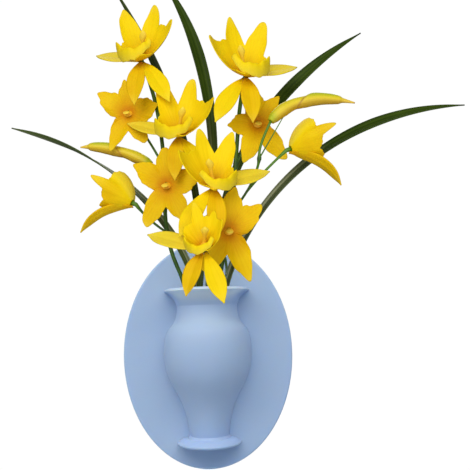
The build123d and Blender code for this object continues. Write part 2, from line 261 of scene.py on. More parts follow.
def panel(name, place, aim, size, power, lit, shading=None, colour=(1, 1, 1)):
    """A light panel that faces a point. It lights one group, and only the shading group blocks it."""
    light = bpy.data.lights.new(name, "AREA")
    light.shape = "RECTANGLE"
    light.size, light.size_y = size
    light.energy = power
    light.color = colour
    made = bpy.data.objects.new(name, light)
    made.light_linking.receiver_collection = lit
    made.light_linking.blocker_collection = shading
    made.location = place
    made.rotation_mode = "QUATERNION"
    made.rotation_quaternion = (Vector(aim) - Vector(place)).to_track_quat("-Z", "Y")
    bpy.context.scene.collection.objects.link(made)


vase_middle = (0, -0.03, 0.0)
spray_middle = (0, -0.03, 0.18)
warm_white = (1.0, 0.95, 0.88)
sky_blue = (0.28, 0.62, 1.0)
# name, place, aim, size, power, what it lights, what blocks it and its colour
panel("vase_panel", (-0.04, -0.85, 0.90), vase_middle, (2.6, 0.6), 21.0, vase_alone, vase_alone, warm_white)
panel("vase_fill", (0.30, -1.40, -0.10), vase_middle, (1.4, 1.4), 2.2, vase_alone, vase_alone, sky_blue)
panel("vase_side", (-1.10, -0.50, 0.30), vase_middle, (0.8, 0.8), 2.0, vase_alone, vase_alone)
panel("spray_panel", (-0.35, -1.30, 0.55), spray_middle, (0.9, 0.9), 12.5, all_but_vase)
panel("spray_fill", (0.55, -1.30, -0.30), spray_middle, (1.2, 1.2), 8.0, all_but_vase)
panel("back_panel", (0.0, 1.20, 1.50), (0, 0, 0.1), (1.6, 1.0), 14.0, None)

world = bpy.data.worlds.new("white_room")
bpy.context.scene.world = world
world.use_nodes = True
sky = Wire(world.node_tree)
seen = sky.node("ShaderNodeLightPath", {}, {}, "Is Camera Ray")
room_light = (0.20, 0.21, 0.23, 1)
white_wall = (1.02, 1.02, 1.02, 1)
backdrop = world.node_tree.nodes["Background"]
world.node_tree.links.new(seen.mix(room_light, white_wall).socket, backdrop.inputs["Color"])

floor_drop = 0.36
floor_size = 0.55
floor_mesh = bpy.data.meshes.new("floor")
floor_z = cad_low.z - floor_drop
corners = np.array([[-1, -1], [1, -1], [1, 1], [-1, 1]]) * floor_size
floor_mesh.from_pydata([(x, y, floor_z) for x, y in corners.tolist()], [], [(0, 1, 2, 3)])
floor = bpy.data.objects.new("floor", floor_mesh)
bpy.context.scene.collection.objects.link(floor)


def paint_floor(wire):
    """Pale plaster, a touch uneven."""
    return {"Base Color": wire.noise(3.0).mix(rgb(236, 236, 236), rgb(244, 244, 243))}


floor_mesh.materials.append(finish("pale_floor", paint_floor, Roughness=0.9))
print("floor at", round(floor_z, 3), "m, camera at", tuple(round(x, 3) for x in camera_place))

# %% [markdown]
# ## Silicone and gel
# Silicone is matte and a little see-through, so light spreads just under its skin. Its colour hardly
# varies, but a moulded face has a fine grain, and a faint cloudiness shows where the wall changes thickness.
# The flare under the rim is painted paler, a painted highlight where the light from above leaves it dark.


# %% Silicone and gel finishes
def paint_silicone(wire):
    """Pale blue with faint clouds; paler on the flare as a painted highlight, between neck and rim and away
    from the plate; a fine moulded grain."""
    height, depth = wire.coordinate("Z"), wire.coordinate("Y")
    flare = height.between(0.038, 0.047) - height.between(0.0485, 0.051) * 0.7
    # painted highlight: the front of the flare, between neck and rim, is made paler
    thin = flare * (1.0 - depth.between(-0.026, -0.012))
    cloud = wire.noise(14.0, 3.0)
    grain = wire.noise(2600.0, 1.0)
    colour = cloud.mix(rgb(160, 186, 224), rgb(170, 193, 228))
    colour = thin.mix(colour, rgb(216, 230, 248))
    rough = 0.50 + 0.10 * cloud + 0.06 * grain
    return {"Base Color": colour, "Roughness": rough, "Normal": wire.bump(grain, 0.12, 0.05)}


def paint_gel(wire):
    """Clear sticky gel, milky in patches."""
    patch = wire.noise(35.0, 4.0)
    colour = patch.mix(rgb(205, 212, 220), rgb(228, 232, 236))
    return {"Base Color": colour, "Roughness": 0.12 + 0.15 * patch, "Normal": wire.bump(patch, 0.2, 0.2)}


silicone = finish("blue_silicone", paint_silicone, Subsurface_Weight=0.4, Subsurface_Radius=(0.3, 0.6, 1.0),
                  Subsurface_Scale=0.008, IOR=1.42)
gel = finish("clear_gel", paint_gel, IOR=1.42)
for node, material in (("vase_front", silicone), ("backing_plate", silicone), ("adhesive_pad", gel)):
    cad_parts[node].data.materials[0] = material
print("silicone on the vase and its plate, gel behind them")

# %% [markdown]
# ## Yellow floral leaves
# The petals are pressed from soft cloth and dyed yellow, orange-brown where they meet; golden in the hollow is
# painted shade and paler at the rim a painted highlight. Fine veins run from the foot to the rim. The tone
# of a point shifts it towards gold, or, below zero, towards a pale lemon.


# %% Petal, column and bud finishes
def paint_petal(wire):
    """Yellow by how far a point is along the petal and by its tone; veins across; a fine weave."""
    across, along, tone = wire.surface()
    cloud = wire.noise(70.0, 3.0)
    fibre = wire.noise(1500.0, 2.0)
    vein = ((across * 180.0 + cloud * 3.0).sine() * 0.5 + 0.5) ** 3.0
    # painted shade: golden towards the foot, in the hollow of the bloom
    deep = (1.0 - along.between(0.0, 0.55)) * 0.55
    gold = (deep + tone + (cloud - 0.5) * 0.6 + vein * 0.08).clamped()
    colour = gold.mix(rgb(248, 213, 6), rgb(216, 156, 0))
    throat = (1.0 - along.between(0.02, 0.22)) * 0.55
    colour = throat.mix(colour, rgb(196, 110, 4))
    # paler where the tone is below zero, and a painted highlight towards the rim
    pale = (0.0 - tone).clamped() + along.between(0.80, 1.0) * 0.18
    colour = pale.mix(colour, rgb(246, 228, 92))
    height = fibre * 0.4 + vein
    rough = 0.50 + 0.18 * cloud
    return {"Base Color": colour, "Roughness": rough, "Normal": wire.bump(height, 0.12, 0.08)}


def paint_column(wire):
    """The small hood in the middle: pale above, orange where it is shaded."""
    tone = wire.surface()[2]
    cloud = wire.noise(300.0, 2.0)
    colour = (tone + (cloud - 0.5) * 0.4).clamped().mix(rgb(252, 220, 64), rgb(240, 176, 6))
    return {"Base Color": colour, "Roughness": 0.42 + 0.15 * cloud, "Normal": wire.bump(cloud, 0.2, 0.1)}


def paint_bud(wire):
    """Yellow; green at the foot and on top, painted shade in brown below, brown along the seam, a paler tip;
    fine streaks.
    """
    across, along, tone = wire.surface()
    cloud = wire.noise(90.0, 2.0)
    streak = ((across * 40.0 + cloud * 4.0).sine() * 0.5 + 0.5) ** 2.0
    sheath = along.between(0.46, 0.56) * (1.0 - along.between(0.76, 0.86))
    foot = 1.0 - along.between(0.02, 0.16)
    green = foot + across.between(0.35, 0.85) * (0.35 + 0.60 * sheath) + streak * 0.15
    colour = green.clamped().mix(rgb(236, 206, 30), rgb(182, 190, 22))
    # painted shade: the underside is made brown and darker
    under = (1.0 - across.between(0.10, 0.50)) * (0.50 + 0.35 * cloud)
    colour = under.mix(colour, rgb(176, 126, 16))
    colour = (along.between(0.82, 0.92) * 0.7).mix(colour, rgb(238, 196, 70))
    colour = along.between(0.95, 1.0).mix(colour, rgb(170, 104, 30))
    colour = (tone * 0.7).mix(colour, rgb(160, 108, 14))
    return {"Base Color": colour, "Roughness": 0.42 + 0.15 * cloud, "Normal": wire.bump(streak, 0.25, 0.15)}


petal_cloth = finish("yellow_petal", paint_petal, Subsurface_Weight=0.10, Subsurface_Radius=(1.0, 0.6, 0.1),
                     Subsurface_Scale=0.003, Specular_IOR_Level=0.1)
column_wax = finish("column_hood", paint_column, Specular_IOR_Level=0.4)
bud_skin = finish("bud_skin", paint_bud, Specular_IOR_Level=0.4)
print("petal, column and bud finishes made")

# %% [markdown]
# ## Where the blooms stand
# Each bloom has its own frame: z along its axis, x to its right, y to its top. The places, turns and sizes
# are those of the solids, so a petal lands where the plain one is.

# %% Bloom frames
rim_height = 51.3
plate_front = 3.3
knob_radius = 2.2
knob_height = 4.6
tier_step = 1.5
seat_gap = 0.3

# form, side that the lip looks to, place (x, depth, rise over the rim), turn, tilt, rolls and sizes
blooms = {
    "left_bloom_1": ("cup", -1, (-46, 33, 181), -12, 44, 0, 0, 1.0, 1.0),
    "left_bloom_2": ("star", -1, (-59, 19, 143), -8, 0, 0, 4, 1.0, 0.84),
    "left_bloom_3": ("cup", -1, (-17, 42, 114.7), -3, 42, -3, 0, 0.97, 0.90),
    "left_bloom_4": ("star", -1, (-26.5, 36, 78), -8, 0, 0, 2, 1.0, 0.92),
    "left_bloom_5": ("nodding", -1, (-50.5, 40, 63.5), -105, 28, 0, 0, 0.95, 0.88),
    "right_bloom_1": ("cup", 1, (35.5, 51, 157.5), 12, 44, 0, 0, 1.0, 1.0),
    "right_bloom_2": ("star", 1, (44, 33, 126), 8, 0, 15, 6, 0.9, 0.92),
    "right_bloom_3": ("nodding", 1, (65.5, 47, 101), 105, 17, 0, 0, 1.0, 0.95),
    "right_bloom_4": ("cup", 1, (10, 71, 67), 12, 42, 0, -3, 0.87, 0.92),
    "right_bloom_5": ("star", 1, (19.5, 57, 38), 8, 0, 0, -8, 1.0, 0.98),
    "right_bloom_6": ("tight cup", -1, (4, 89, 20), -12, 42, -15, 0, 0.64, 0.84),
}


def over_rim(place):
    """A point from its place across, its depth from the plate's front and its rise over the rim."""
    return np.array([place[0], -plate_front - place[1], rim_height + place[2]], float)


def bloom_axes(name):
    """The bloom's origin and its axes as the rows of a matrix."""
    place, turn, tilt = blooms[name][2:5]
    yaw, pitch = math.radians(turn), math.radians(tilt)
    axis = np.array([math.sin(yaw) * math.cos(pitch), -math.cos(yaw) * math.cos(pitch), math.sin(pitch)])
    across = np.array([math.cos(yaw), math.sin(yaw), 0.0])
    return over_rim(place), np.stack([across, np.cross(axis, across), axis])


def into_place(name, local):
    """Points in the bloom's frame as points of the whole object."""
    origin, axes = bloom_axes(name)
    return origin + local @ axes


print(len(blooms), "blooms")

# %% [markdown]
# ## Narrow sepals
# A sepal is a strap that leaves the knob, opens away from the bloom's axis along an arc, and swells and
# narrows on its way. A sheet with two parameters holds that well: share runs along the arc, across runs over
# its width.

# %% Sepal surface
claw_width = 2.4
tip_width = 0.8
claw_clearance = 0.8
seat_rise = 0.6
sheet_lift = 0.4
rib_depth = 0.45
rib_share = 0.12
wave_height = 0.5
throat_share = 0.2


def sepal(row, fullness, size, roll, tone, rows=30, columns=13):
    """Arc: the opening angle goes evenly from claw to tip, and its sine and cosine add up to radius and
    height. Width: sine of half a turn over the length, to a power. Edges stand up by the cup, the middle has
    a rib, and the whole sheet waves a little. The count along it starts past the orange throat."""
    azimuth, open_claw, open_tip, length, width, cup, tier, widest = row
    length, width = length * size, width * size
    turn = math.radians(azimuth + roll)
    share = np.linspace(0, 1, rows)[:, None]
    across = np.linspace(-1, 1, columns)[None, :]
    opening = np.radians(open_claw + (open_tip - open_claw) * share)
    step = length / (rows - 1)
    middle_opening = (opening[1:] + opening[:-1]) / 2
    start = knob_radius + seat_gap + claw_clearance * max(0.0, math.cos(math.radians(open_claw)))
    seat = tier_step * (tier + seat_rise)
    radius = start + np.concatenate([[[0.0]], np.cumsum(np.sin(middle_opening) * step, 0)])
    height = seat + np.concatenate([[[0.0]], np.cumsum(np.cos(middle_opening) * step, 0)])
    swell = np.clip(np.sin(np.pi * share ** widest), 0, 1) ** (fullness + 0.4 * share)
    half = np.maximum(width * swell, claw_width + (tip_width - claw_width) * share) / 2
    arch = np.sin(np.pi * share)
    lift = half * cup * (0.25 + 0.75 * across ** 2) + sheet_lift
    lift = lift - rib_depth * np.exp(-(across / rib_share) ** 2) * arch
    lift = lift + wave_height * np.sin(9.0 * share + 2.0 * across + azimuth) * across ** 2 * arch
    out = radius - lift * np.cos(opening)
    rise = height + lift * np.sin(opening)
    aside = half * across
    local = np.stack([out * math.cos(turn) - aside * math.sin(turn),
                      out * math.sin(turn) + aside * math.cos(turn),
                      np.broadcast_to(rise, aside.shape)], -1)
    return local, (across + 1) / 8, throat_share + (1 - throat_share) * share, tone


# %% [markdown]
# ## Corollas
# The petals of one of these blooms are pressed from a single piece, so they are joined near the middle and
# free at the rim. In polar terms that is one ring-shaped sheet: round the axis it goes out as far as the
# longest petal there reaches, which makes the notches by itself. The lip of a cup is such a sheet too, over
# part of the ring.

# %% Corolla and lip surfaces
point_spread = 0.12
blend_spread = 0.85
crease_spread = 0.16
ruffle_waves = 7
coarse_notches, fine_notches = 17, 29
widest_share = 0.6
ripple_height, ripples = 0.2, 2.0
# tone of the painted shade along creases and of the painted highlight at the foot
crease_shade_tone, foot_highlight_tone = 0.3, 0.6


def corolla(lobes, throat, ruffle, ragged, crease, painted_light_foot, phase, rows=30, columns=240):
    """Each lobe: azimuth, half width, length, opening at the foot and the rim, length of its point, tone and
    curl. A lobe is an ellipse that touches the middle, so at an angle from its azimuth it reaches
    2 (cos / half length) / ((cos / half length) ** 2 + (sin / half width) ** 2), and a narrow bell curve adds
    its point. The sheet's edge is the longest reach, at least the throat. Opening angles blend between lobes.
    The rim is ruffled by a wave that grows towards it, a low ripple crosses each lobe, its edges curl, and a
    crease runs between lobes, with painted shade along it. A painted highlight at the foot takes off the tone
    there, and starts the count along the petal further on."""
    azimuth, wide, length, foot, rim, point, tone, curl = np.array(lobes, float).T[:, :, None]
    turn = np.linspace(0, 360, columns, endpoint=False)[None, :]
    apart = np.radians((turn - azimuth + 180) % 360 - 180)
    half = (length - point) / 2
    reach = 2 * (np.cos(apart) / half) / ((np.cos(apart) / half) ** 2 + (np.sin(apart) / wide) ** 2)
    reach = np.maximum(reach + point * np.exp(-(apart / point_spread) ** 2), throat)
    away = np.abs(apart) / np.arctan2(wide, widest_share * length)
    edge = reach.max(0)
    angle = np.radians(turn)
    notches = np.sin(angle[0] * coarse_notches + phase) + np.sin(angle[0] * fine_notches + 2 * phase)
    edge = edge * (1 + ragged * notches)
    pull = np.exp(-(away / blend_spread) ** 2) + 1e-9
    pull = pull / pull.sum(0)
    start, end = np.radians((pull * foot).sum(0)), np.radians((pull * rim).sum(0))
    bend = (end - start) / (pull * length).sum(0)
    bend = np.where(np.abs(bend) < 1e-4, 1e-4, bend)
    share = np.linspace(0, 1, rows)[:, None]
    opening = start + bend * share * edge
    radius = knob_radius + seat_gap + (np.cos(start) - np.cos(opening)) / bend
    height = (np.sin(opening) - np.sin(start)) / bend
    near = away.min(0)
    push = ruffle * share ** 3 * np.sin(ruffle_waves * angle + phase) * np.clip(near, 0, 1)
    push = push + (pull * curl).sum(0) * share ** 2 * np.clip(near, 0, 1) ** 2
    push = push + ripple_height * share * (1 - share) * np.cos(2 * np.pi * near * ripples)
    between = np.exp(-((near - near.max()) / crease_spread) ** 2)
    push = push - crease * share * between
    radius = radius + push * np.cos(opening)
    height = height - push * np.sin(opening)
    local = np.stack([radius * np.cos(angle), radius * np.sin(angle), height], -1)
    along = painted_light_foot + (1 - painted_light_foot) * share * edge / edge.max()
    # painted shade along the crease adds to the tone, and a painted highlight at the foot takes from it
    tone = (pull * tone).sum(0) + crease_shade_tone * crease * between
    tone = tone - foot_highlight_tone * painted_light_foot * (1 - share) ** 2
    return local, turn / 360 * 2, along, tone


lip_middle, lip_half_turn = 275, 75
fold_share = 0.5


def lip(size, phase, rows=34, columns=60):
    """A tongue in front of the column, part of a ring. Its first half rises from the knob to a fold, its
    second half turns over the fold and hangs down as an apron. The fold rises to both ends and goes further
    out at the outer corner; the apron is shortest at the inner end. The edge is wavy."""
    across = np.linspace(-1, 1, columns)[None, :]
    share = np.linspace(0, 1, rows)[:, None]
    outer, inner = np.clip(across, 0, 1), np.clip(-across, 0, 1)
    angle = np.radians(lip_middle + lip_half_turn * across)
    rise = np.clip(share / fold_share, 0, 1)
    hang = np.clip(share / fold_share - 1, 0, 1)
    wave = 0.6 * np.sin(9 * across + phase) + 0.3 * np.sin(17 * across + 2 * phase)
    fold_out = 12.0 + 1.6 * outer ** 1.5 - 0.5 * inner
    fold_up = 11.2 + 0.8 * outer ** 2 + 3.8 * inner ** 2
    drop = 8.5 + 3.5 * outer - 5.5 * inner
    foot = knob_radius + seat_gap
    corner = outer ** 5
    turn_over = (2.6 - 1.0 * corner) * np.sin(np.pi / 2 * hang)
    radius = foot + size * ((fold_out + 2.2 * corner) * rise ** 0.8 - foot * rise + turn_over)
    height = size * (1.5 + (fold_up + 2.6 * corner) * rise ** 1.2 + wave * rise ** 3 - drop * hang ** 1.5)
    local = np.stack([radius * np.cos(angle), radius * np.sin(angle), height], -1)
    return local, across, 0.5 + 0.4 * share, 0.05 - 0.3 * hang + 0 * across


def mirrored(surface, lip_side):
    """The same surface for a bloom whose lip looks left: x changes sign, and the columns run backwards, so
    that the faces keep their outside."""
    local, *values = surface
    if lip_side > 0:
        return surface
    values = [np.broadcast_to(value, local.shape[:2])[:, ::-1] for value in values]
    return ((local * [-1, 1, 1])[:, ::-1], *values)


# %% [markdown]
# ## The column
# In the middle of an orchid stands the column, a short post with a hood at its end. It is a tube whose
# radius swells into the hood, with a flat underside, bent forward.

# %% Column surface
post_share = 0.6
hood_share = 0.85
hood_place, hood_spread = 0.82, 0.15
skirt_width, skirt_spread = 2.4, 0.16
column_tier = 2.7
hood_length = 5.0
hood_flat = 0.4
forward_share = 2.4


def column(lean, aside, length, radius, rows=22, columns=24):
    """A post along z: its radius is a share of the column's, swells in the hood and closes, and a skirt
    widens its foot. The post leans back and goes aside evenly, and the hood bends forward by a share
    squared."""
    share = np.linspace(0, 1, rows)[:, None]
    angle = np.linspace(0, 2 * np.pi, columns, endpoint=False)[None, :]
    hood = np.exp(-((share - hood_place) / hood_spread) ** 2)
    skirt = np.exp(-(share / skirt_spread) ** 2)
    closing = np.sqrt(np.clip(1.004 - share ** 10, 0, 1))
    size = radius * (post_share + hood_share * hood) * closing + skirt_width * skirt
    height = share * (length + hood_length)
    forward_bend = -forward_share * radius * share ** 2
    x = size * np.cos(angle) - aside * share
    y = size * np.sin(angle) * (1 - hood_flat * hood) + forward_bend
    z = height + 0 * angle
    tilt = math.radians(lean)
    back = y * math.cos(tilt) + z * math.sin(tilt)
    rise = z * math.cos(tilt) - y * math.sin(tilt)
    local = np.stack([x, back, rise], -1) + [0, 0, tier_step * column_tier]
    shaded = np.clip(1.0 - 1.1 * share + 0.35 * hood * np.sin(angle), 0, 1)
    return local, angle / FULL_TURN, share, shaded


# %% [markdown]
# ## Three ways a bloom stands
# Some blooms stand as cups seen from the front, with a broad scoop of a lip. The ones between them are
# flat stars, and two hang over the sides as bells. All of them come from the surfaces above.

# %% Blooms
petal_tier = 2.5
lip_tier = 3.0
petal_thickness = 0.7
sepal_thickness = 0.8
sepal_fullness = 0.62

# azimuth, opening at the claw and the tip, length, width, cup, tier, how far out it is widest
sepal_rows = {
    "cup": [(28, 86, 92, 52, 18, 0.15, 0, 1.2), (235, 100, 130, 48, 15, 0.20, 0, 1.3),
            (273, 104, 136, 41, 15, 0.20, 0.7, 1.1)],
    "tight cup": [(23, 86, 92, 55, 18, 0.15, 0, 1.2), (246, 100, 130, 46, 15, 0.20, 0, 1.3),
                  (292, 104, 136, 38, 15, 0.20, 0.7, 1.1)],
    "star": [],
    "nodding": [(246, 24, 94, 52, 14, 0.20, 0, 1.2)],
}
sepal_tones = {"cup": (-0.3, 0.0, 0.5), "tight cup": (-0.3, 0.0, 0.5), "star": (), "nodding": (0.5,)}

# how far it leans back and goes aside, length and radius
column_shapes = {"cup": (26, 6, 15.5, 2.1), "tight cup": (26, 6, 15.5, 2.1), "star": (20, 0, 1.0, 2.0),
                 "nodding": (0, 0, 6, 1.7)}

# azimuth, half width, length, opening at the foot and the rim, length of the point, tone, curl
cup_lobes = [(160, 11, 39, 74, 30, 3.0, -0.05, -1.5), (106, 8.5, 47, 60, 42, 3.0, 0.0, 1.0),
             (63, 9.5, 45, 56, 40, 2.0, 0.0, 1.5), (137, 16, 31, 68, 34, 0.0, 0.0, 0.0),
             (196, 14, 14, 76, 50, 0.0, 0.05, 0.0), (40, 10, 19, 60, 40, 0.0, 0.0, 0.0)]
tight_lobes = [(132, 8, 33, 54, 34, 2.0, 0.05, 1.0), (100, 8, 37, 54, 38, 2.0, 0.0, 1.0),
               (60, 8.5, 46, 50, 36, 2.0, 0.0, 1.5), (190, 12, 14, 68, 42, 0.0, 0.05, 0.0),
               (98, 18, 31, 54, 34, 0.0, 0.0, 0.0), (28, 12, 27, 56, 34, 0.0, 0.0, 0.0)]
star_petals = [(36, 7.8, 28, 76, 84, 4.0, 0.38, 1.5), (172, 8.5, 24, 76, 84, 2.5, 0.38, 1.5)]
star_sepals = [(90, 7.4, 30, 80, 88, 3.0, 0.40, 1.0), (299, 7.4, 37, 80, 90, 4.0, 0.40, -1.5),
               (244, 7.4, 34, 80, 90, 3.0, 0.40, -1.5)]
bell_lobes = [(100, 13, 25, 66, 22, 0.5, -0.25, 0.5), (25, 14, 27, 62, 16, 1.0, 0.10, 0.5),
              (166, 6, 39, 60, 22, 4.0, 0.45, 0.5), (62, 13, 24, 68, 18, 0.5, -0.20, 0.5),
              (128, 15, 27, 66, 16, 0.5, -0.20, 0.5), (176, 13, 26, 58, 12, 0.5, 0.50, 0.5),
              (232, 11, 25, 48, 16, 1.0, 0.40, 0.5), (310, 12, 26, 48, 14, 1.0, 0.15, 0.5)]


def turned(lobes, roll, size):
    """Lobes at another size and rolled about the axis."""
    return [(azimuth + roll, wide * size, length * size, *rest) for azimuth, wide, length, *rest in lobes]


def dress_bloom(name, phase):
    """The pieces of one bloom, on the body that its stem belongs to."""
    form, lip_side = blooms[name][:2]
    petal_roll, sepal_roll, petal_size, sepal_size = blooms[name][5:]
    body = name.split("_")[0] + "_spray"
    petal_roll, sepal_roll = petal_roll * lip_side, sepal_roll * lip_side
    # lobes, then throat, ruffle, raggedness, crease and painted highlight at the foot
    lobes, *shape = {
        "cup": (turned(cup_lobes, petal_roll, petal_size), 7 * petal_size, 1.0, 0.012, 0.3, 0.0),
        "tight cup": (turned(tight_lobes, petal_roll, petal_size), 7 * petal_size, 1.0, 0.012, 0.3, 0.0),
        "star": (turned(star_petals, petal_roll, petal_size) + turned(star_sepals, sepal_roll, sepal_size),
                 5.0, 1.3, 0.02, 0.0, 0.0),
        "nodding": (turned(bell_lobes, petal_roll, petal_size), 17.0, 0.8, 0.008, 1.4, 0.55),
    }[form]

    def placed(surface, tier, closed=False):
        """A surface of this bloom as a grid in its place, raised by its tier."""
        local, across, along, tone = mirrored(surface, lip_side)
        return grid(into_place(name, local + [0, 0, tier_step * tier]), across, along, tone, closed)

    petals = [placed(corolla(lobes, *shape, phase), petal_tier, closed=True)]
    if "cup" in form:
        petals.append(placed(lip(petal_size, phase), lip_tier))
    nodes = [name + "_petals"] + ([name + "_sepals"] if form == "star" else [])
    make_piece(name + "_corolla", petals, petal_cloth, body, nodes, petal_thickness)
    straps = [placed(sepal(row, sepal_fullness, sepal_size, sepal_roll, tone), 0)
              for row, tone in zip(sepal_rows[form], sepal_tones[form])]
    if straps:
        make_piece(name + "_straps", straps, petal_cloth, body, [name + "_sepals"], sepal_thickness)
    lean, aside, length, size = column_shapes[form]
    post = placed(column(lean, aside * petal_size, length * petal_size, size), 0, closed=True)
    make_piece(name + "_column", [post], column_wax, body, [name + "_lip"])


phase_step = 1.7
for number, name in enumerate(blooms):
    dress_bloom(name, phase_step * number)

# %% [markdown]
# ## Strap leaves
# Leaves start as narrow straps bound round the stem inside the pocket, come out of the mouth and arch over.
# A leaf is folded along its middle like a shallow gutter, with fine ribs along it, and ends in a point.


# %% Leaf finish and surface
def paint_leaf(wire):
    """Dark green with ribs and broad streaks along it; the tone lays a painted sheen on one half of the leaf.
    """
    across, _, tone = wire.surface()
    cloud = wire.noise(40.0, 3.0)
    rib = ((across * 88.0).sine() * 0.5 + 0.5) ** 2.0
    streak = (across * 19.0 + cloud * 1.5).sine() * 0.5 + 0.5
    light = (rib * 0.2 + streak * 0.3 + (cloud - 0.5) * 0.7 + 0.05).clamped()
    colour = light.mix(rgb(38, 58, 4), rgb(78, 98, 20))
    # painted sheen: one half of the leaf is made paler, for light glancing off it
    painted_sheen = (tone * (0.45 + 0.55 * streak)).clamped()
    colour = painted_sheen.mix(colour, rgb(164, 170, 136))
    return {"Base Color": colour, "Roughness": 0.36 + 0.18 * cloud, "Normal": wire.bump(rib, 0.3, 0.15)}


leaf_green = finish("leaf_green", paint_leaf, Specular_IOR_Level=0.12)

stem_radius = 1.6
leaf_width = 11.5
leaf_base_width = 3.0
leaf_tip_width = 0.5
leaf_thickness = 0.8
widest_from = 0.72
taper_from = 0.6
# painted sheen on the lit half of a leaf: where along it the sheen starts to change, over what share, and how
# much the other half gets
sheen_until = 0.46
sheen_fade = 0.20
sheen_on_other_half = 0.25
gutter_depth = 0.22
fold_roundness = 0.03
leaf_rib_height, leaf_rib_waves = 0.05, 40
neck_bore = 21.9
sleeve_spread = 6.5
pocket_floor = -58.0
sleeve_bottom = pocket_floor + 14.0
sleeve_top = sleeve_bottom + 20.0
leaf_offset = stem_radius + seat_gap + 0.5
sleeve_bore = math.hypot(leaf_offset + 0.5, leaf_base_width / 2) + seat_gap
sleeve_depth = sleeve_bore + 0.8 + seat_gap

# side, place round the stem, mouth across and out as shares of the bore, slopes at mouth and tip, bend,
# length, depth at the tip, turn of the blade at mouth and tip, painted sheen at mouth and tip, width at mouth
leaves = {
    "left_leaf_low": (-1, 90, -0.38, 0.12, 100, 165, 0.73, 215, 9, -4, -125, 0.6, 0.5, 0.5),
    "left_leaf_tall": (-1, 0, -0.25, 0.26, 81, 122, 0.68, 288, 6, 12, 80, 0.1, 0.1, 0.45),
    "right_leaf_tall": (1, 180, 0.09, 0.50, 84.6, 124, 2.0, 278, 12, -20, -20, 0.6, 0.0, 0.44),
    "right_leaf_high": (1, 95, 0.54, 0.13, 102.6, 29.0, 0.72, 265, 6, 10, 14, 0.1, 0.0, 0.45),
    "right_leaf_low": (1, 15, 0.72, 0.43, 74.6, 0, 0.92, 270, 9, 40, 32, 1.1, 0.0, 0.6),
}


def leaf_line(row, count=80, climb_count=24):
    """The leaf's middle: up the sleeve, a Hermite curve to the mouth, then a line whose slope goes from the
    mouth's to the tip's as share to the power bend. Gives points, turn of the blade and width at each."""
    side, round_stem, across, outward, slope_mouth, slope_tip, bend, length, depth_tip = row[:9]
    turn_mouth, turn_tip, *_, narrow = row[9:]
    angle = math.radians(round_stem)
    foot_x = side * sleeve_spread + leaf_offset * math.cos(angle)
    foot_y = -plate_front - sleeve_depth + leaf_offset * math.sin(angle)
    foot = np.array([foot_x, foot_y, sleeve_bottom + seat_gap])
    top = np.array([foot_x, foot_y, sleeve_top])
    mouth = np.array([across * neck_bore, -plate_front - outward * neck_bore, rim_height])
    rise = np.linalg.norm(mouth - top)
    slope = math.radians(slope_mouth)
    leave = np.array([0, 0, rise])
    arrive = np.array([math.cos(slope), 0, math.sin(slope)]) * rise
    s = np.linspace(0, 1, climb_count)[:, None]
    climb = (top * (2 * s ** 3 - 3 * s ** 2 + 1) + leave * (s ** 3 - 2 * s ** 2 + s)
             + mouth * (3 * s ** 2 - 2 * s ** 3) + arrive * (s ** 3 - s ** 2))
    share = (np.arange(count) + 0.5) / count
    slopes = np.radians(slope_mouth + (slope_tip - slope_mouth) * share ** bend)
    creep = np.full(count, (depth_tip - outward * neck_bore) / length)
    steps = np.stack([np.cos(slopes), -creep, np.sin(slopes)], -1) * length / count
    blade = mouth + np.cumsum(steps, 0)
    s = s[:, 0]
    share = np.linspace(0, 1, count + 1)[1:]
    turn_foot = 90 - round_stem
    turns = np.concatenate([[turn_foot], turn_foot + (turn_mouth - turn_foot) * s,
                            turn_mouth + (turn_tip - turn_mouth) * share])
    swell = narrow + (1 - narrow) * np.minimum(1.0, share / widest_from) ** 1.6
    taper = 1 - np.clip((share - taper_from) / (1 - taper_from), 0, 1) ** 2.2
    mouth_width = narrow * leaf_width
    widths = np.concatenate([[leaf_base_width], leaf_base_width + (mouth_width - leaf_base_width) * s,
                             np.maximum(leaf_width * swell * taper, leaf_tip_width)])
    return np.concatenate([foot[None], climb, blade]), np.radians(turns), widths


def leaf_sheet(row, columns=17):
    """The blade: across each point of the middle line, a gutter whose sides rise with the distance from the
    fold, with the fold rounded off and ribs of a twentieth of a millimetre."""
    line, turn, width = leaf_line(row)
    along = np.gradient(line, axis=0)
    along /= np.linalg.norm(along, axis=1, keepdims=True)
    flat = np.cross(along, [0, 1, 0])
    flat /= np.linalg.norm(flat, axis=1, keepdims=True)
    edge = np.cross(flat, along)
    blade = flat * np.cos(turn)[:, None] + edge * np.sin(turn)[:, None]
    normal = np.cross(along, blade)
    across = np.linspace(-1, 1, columns)
    fold = np.sqrt(across ** 2 + fold_roundness) - math.sqrt(fold_roundness)
    half = (width / 2)[:, None]
    ribs = leaf_rib_height * np.cos(across * leaf_rib_waves)
    deep = gutter_depth * half * fold[None, :] + ribs[None, :]
    points = line[:, None] + blade[:, None] * (half * across)[..., None] + normal[:, None] * deep[..., None]
    share = np.linspace(0, 1, len(line))[:, None]
    # the painted sheen goes from its mouth value to its tip value along the leaf, full on one half
    side, (sheen_mouth, sheen_tip) = row[0], row[11:13]
    painted_sheen = sheen_mouth + (sheen_tip - sheen_mouth) * np.clip((share - sheen_until) / sheen_fade, 0, 1)
    half_share = np.where(across * side > 0, 1.0, sheen_on_other_half)
    return grid(points, (across[None, :] + 1) / 2, share, painted_sheen * half_share[None, :])


for name, row in leaves.items():
    body = name.split("_")[0] + "_spray"
    make_piece(name + "_blade", [leaf_sheet(row)], leaf_green, body, [name], leaf_thickness)

# %% [markdown]
# ## Stems, stalks and buds
# A stem's middle line is a smooth curve drawn by a few control points, the corners of the solid's route.
# Such a curve (a quadratic B-spline) touches the middle of every run, as the solid's arcs do. A tube is
# carried along it, swelling where a stalk leaves and where it carries a bloom. A bud is such a tube too,
# swollen in two sheaths.


